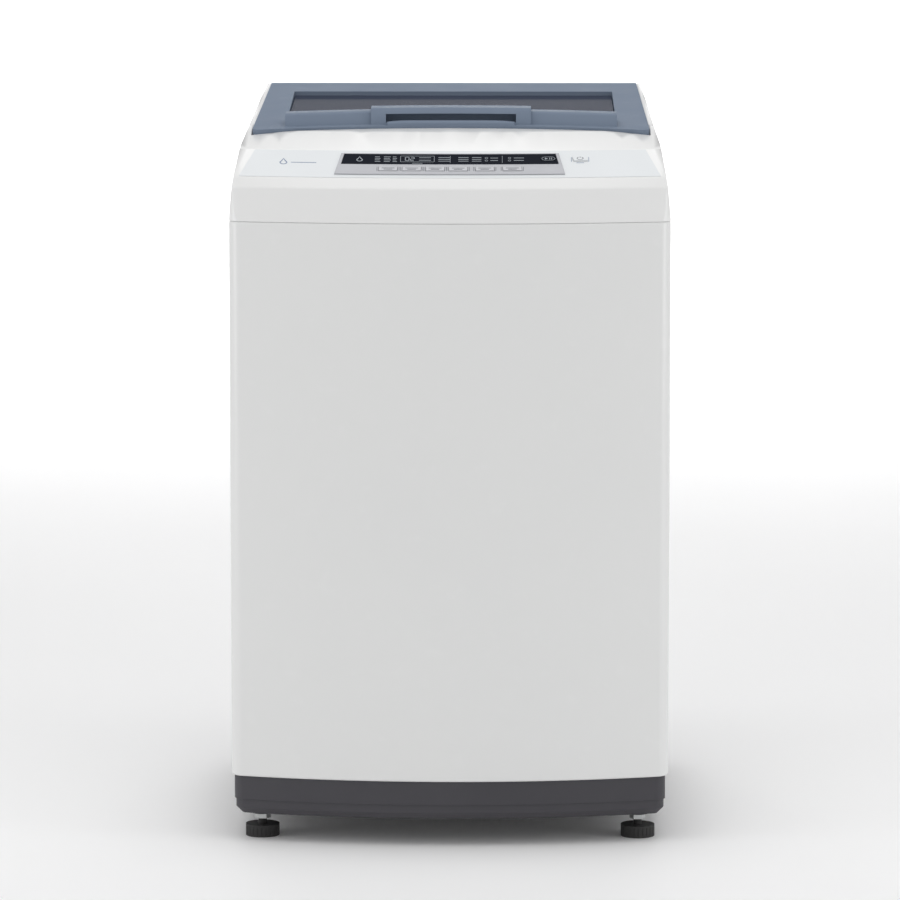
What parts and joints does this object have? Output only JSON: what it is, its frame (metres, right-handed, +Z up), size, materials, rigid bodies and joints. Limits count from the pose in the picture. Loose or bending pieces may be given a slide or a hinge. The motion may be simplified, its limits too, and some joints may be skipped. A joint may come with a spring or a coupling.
{
  "type": "top load washing machine",
  "caption": "Compact white top load washing machine with a bowed front, sloping control console, hinged slate lid with smoked window, spinning basket and pulsator.",
  "frame": {"origin": "middle of the footprint, on the floor under the feet", "axes": "+X to the machine's right as seen from the front, +Y to its back, +Z up; the front faces -Y"},
  "size_m": [0.52, 0.545, 0.8801],
  "materials": {
    "white_enamel": "satin baked enamel",
    "white_plastic": "smooth moulded ABS",
    "film_white": "satin printed film",
    "silver_plastic": "metallic painted plastic",
    "black_gloss": "gloss black window",
    "key_silver": "metallic painted plastic",
    "slate_plastic": "gloss slate grey moulding",
    "smoked_glass": "smoked toughened glass",
    "charcoal_plastic": "fine textured polypropylene",
    "foot_plastic": "moulded rubber and nylon",
    "zinc_steel": "zinc plated steel",
    "stainless": "brushed stainless steel",
    "galvanised": "pre-coated grey sheet",
    "tub_plastic": "natural polypropylene",
    "pale_plastic": "smooth polypropylene",
    "ring_fill": "moulded ring with brine inside",
    "cast_aluminium": "as cast",
    "motor_paint": "black painted stack and caps",
    "black_rubber": "moulded rubber",
    "valve_plastic": "glass filled nylon",
    "board_plastic": "potted circuit board",
    "magnet_iron": "sintered magnet"
  },
  "bodies": {
    "frame": {"cabinet": "white_enamel", "rear_panel": "galvanised", "base": "charcoal_plastic", "foot_locknuts": "zinc_steel", "top_cover": "white_plastic", "control_film": "film_white", "display_bezel": "silver_plastic", "display_window": "black_gloss", "control_board": "board_plastic", "lid_sensor": "charcoal_plastic", "corner_hangers": "zinc_steel", "suspension_rods": "zinc_steel", "hot_inlet_valve": "valve_plastic", "cold_inlet_valve": "valve_plastic", "detergent_housing": "white_plastic", "level_sensor": "charcoal_plastic", "drain_outlet": "charcoal_plastic", "cord_gland": "charcoal_plastic", "panel_screws": "zinc_steel", "cover_screws": "zinc_steel"},
    "lid": {"lid_frame": "slate_plastic", "lid_window": "smoked_glass", "lid_pins": "zinc_steel", "lid_bumpers": "black_rubber", "lid_magnet": "magnet_iron"},
    "drawer": {"detergent_drawer": "white_plastic"},
    "tub": {"outer_tub": "tub_plastic", "tub_cover": "pale_plastic", "drive_bracket": "zinc_steel", "gearbox_housing": "cast_aluminium", "hub_bearings": "zinc_steel", "shaft_seal": "black_rubber", "motor_body": "motor_paint", "drive_belt": "black_rubber", "drain_valve": "valve_plastic", "suspension_cups": "valve_plastic", "suspension_springs": "zinc_steel", "drain_hose": "black_rubber"},
    "basket": {"basket_wall": "stainless", "basket_base": "pale_plastic", "balance_ring": "ring_fill", "lint_filters": "pale_plastic", "spin_shaft": "zinc_steel"},
    "pulsator": {"pulsator": "pale_plastic", "wash_shaft": "zinc_steel"},
    "drive_pulley": {"drive_pulley": "cast_aluminium"},
    "motor_rotor": {"motor_rotor": "cast_aluminium"},
    "delay_key": {"delay_key": "key_silver"},
    "program_key": {"program_key": "key_silver"},
    "water_level_key": {"water_level_key": "key_silver"},
    "wash_key": {"wash_key": "key_silver"},
    "rinse_key": {"rinse_key": "key_silver"},
    "spin_key": {"spin_key": "key_silver"},
    "start_key": {"start_key": "key_silver"},
    "power_key": {"power_key": "key_silver"},
    "front_left_foot": {"front_left_foot": "foot_plastic"},
    "front_right_foot": {"front_right_foot": "foot_plastic"},
    "rear_left_foot": {"rear_left_foot": "foot_plastic"},
    "rear_right_foot": {"rear_right_foot": "foot_plastic"}
  },
  "joints": [
    {"name": "lid_hinge", "type": "hinge", "parent": "frame", "child": "lid", "pos_m": [0, 0.245, 0.873], "axis": [-1, 0, 0], "range_deg": [0, 100]},
    {"name": "delay_press", "type": "slide", "parent": "frame", "child": "delay_key", "axis": [0.0361, 0.4258, -0.9041], "range_m": [0, 0.001], "stiffness_N_per_m": 1200, "springref_m": -0.0006},
    {"name": "program_press", "type": "slide", "parent": "frame", "child": "program_key", "axis": [0.0222, 0.4268, -0.9041], "range_m": [0, 0.001], "stiffness_N_per_m": 1200, "springref_m": -0.0006},
    {"name": "water_level_press", "type": "slide", "parent": "frame", "child": "water_level_key", "axis": [0.0085, 0.4273, -0.9041], "range_m": [0, 0.001], "stiffness_N_per_m": 1200, "springref_m": -0.0006},
    {"name": "wash_press", "type": "slide", "parent": "frame", "child": "wash_key", "axis": [-0.005, 0.4273, -0.9041], "range_m": [0, 0.001], "stiffness_N_per_m": 1200, "springref_m": -0.0006},
    {"name": "rinse_press", "type": "slide", "parent": "frame", "child": "rinse_key", "axis": [-0.0206, 0.4269, -0.9041], "range_m": [0, 0.001], "stiffness_N_per_m": 1200, "springref_m": -0.0006},
    {"name": "spin_press", "type": "slide", "parent": "frame", "child": "spin_key", "axis": [-0.0367, 0.4258, -0.9041], "range_m": [0, 0.001], "stiffness_N_per_m": 1200, "springref_m": -0.0006},
    {"name": "start_press", "type": "slide", "parent": "frame", "child": "start_key", "axis": [-0.0594, 0.4232, -0.9041], "range_m": [0, 0.001], "stiffness_N_per_m": 1200, "springref_m": -0.0006},
    {"name": "power_press", "type": "slide", "parent": "frame", "child": "power_key", "axis": [-0.0786, 0.4201, -0.9041], "range_m": [0, 0.001], "stiffness_N_per_m": 1200, "springref_m": -0.0006},
    {"name": "drawer_slide", "type": "slide", "parent": "frame", "child": "drawer", "axis": [0, -1, 0], "range_m": [0, 0.045]},
    {"name": "tub_bounce", "type": "slide", "parent": "frame", "child": "tub", "axis": [0, 0, 1], "range_m": [-0.03, 0.01], "stiffness_N_per_m": 12000, "springref_m": 0.02175, "deforming": ["suspension_springs", "drain_hose"]},
    {"name": "basket_spin", "type": "hinge", "parent": "tub", "child": "basket", "pos_m": [0, 0.004, 0.5], "axis": [0, 0, 1], "continuous": true},
    {"name": "pulsator_spin", "type": "hinge", "parent": "basket", "child": "pulsator", "pos_m": [0, 0.004, 0.35], "axis": [0, 0, 1], "continuous": true},
    {"name": "drive_pulley_spin", "type": "hinge", "parent": "tub", "child": "drive_pulley", "pos_m": [0, 0.004, 0.156], "axis": [0, 0, 1], "continuous": true},
    {"name": "motor_spin", "type": "hinge", "parent": "tub", "child": "motor_rotor", "pos_m": [-0.14, 0.004, 0.156], "axis": [0, 0, 1], "continuous": true},
    {"name": "front_left_level", "type": "slide", "parent": "frame", "child": "front_left_foot", "axis": [0, 0, 1], "range_m": [-0.01, 0.005]},
    {"name": "front_right_level", "type": "slide", "parent": "frame", "child": "front_right_foot", "axis": [0, 0, 1], "range_m": [-0.01, 0.005]},
    {"name": "rear_left_level", "type": "slide", "parent": "frame", "child": "rear_left_foot", "axis": [0, 0, 1], "range_m": [-0.01, 0.005]},
    {"name": "rear_right_level", "type": "slide", "parent": "frame", "child": "rear_right_foot", "axis": [0, 0, 1], "range_m": [-0.01, 0.005]}
  ],
  "couplings": [
    {"joint": "pulsator_spin", "follows": "drive_pulley_spin", "ratio": 0.2},
    {"joint": "motor_spin", "follows": "drive_pulley_spin", "ratio": 3.459}
  ]
}
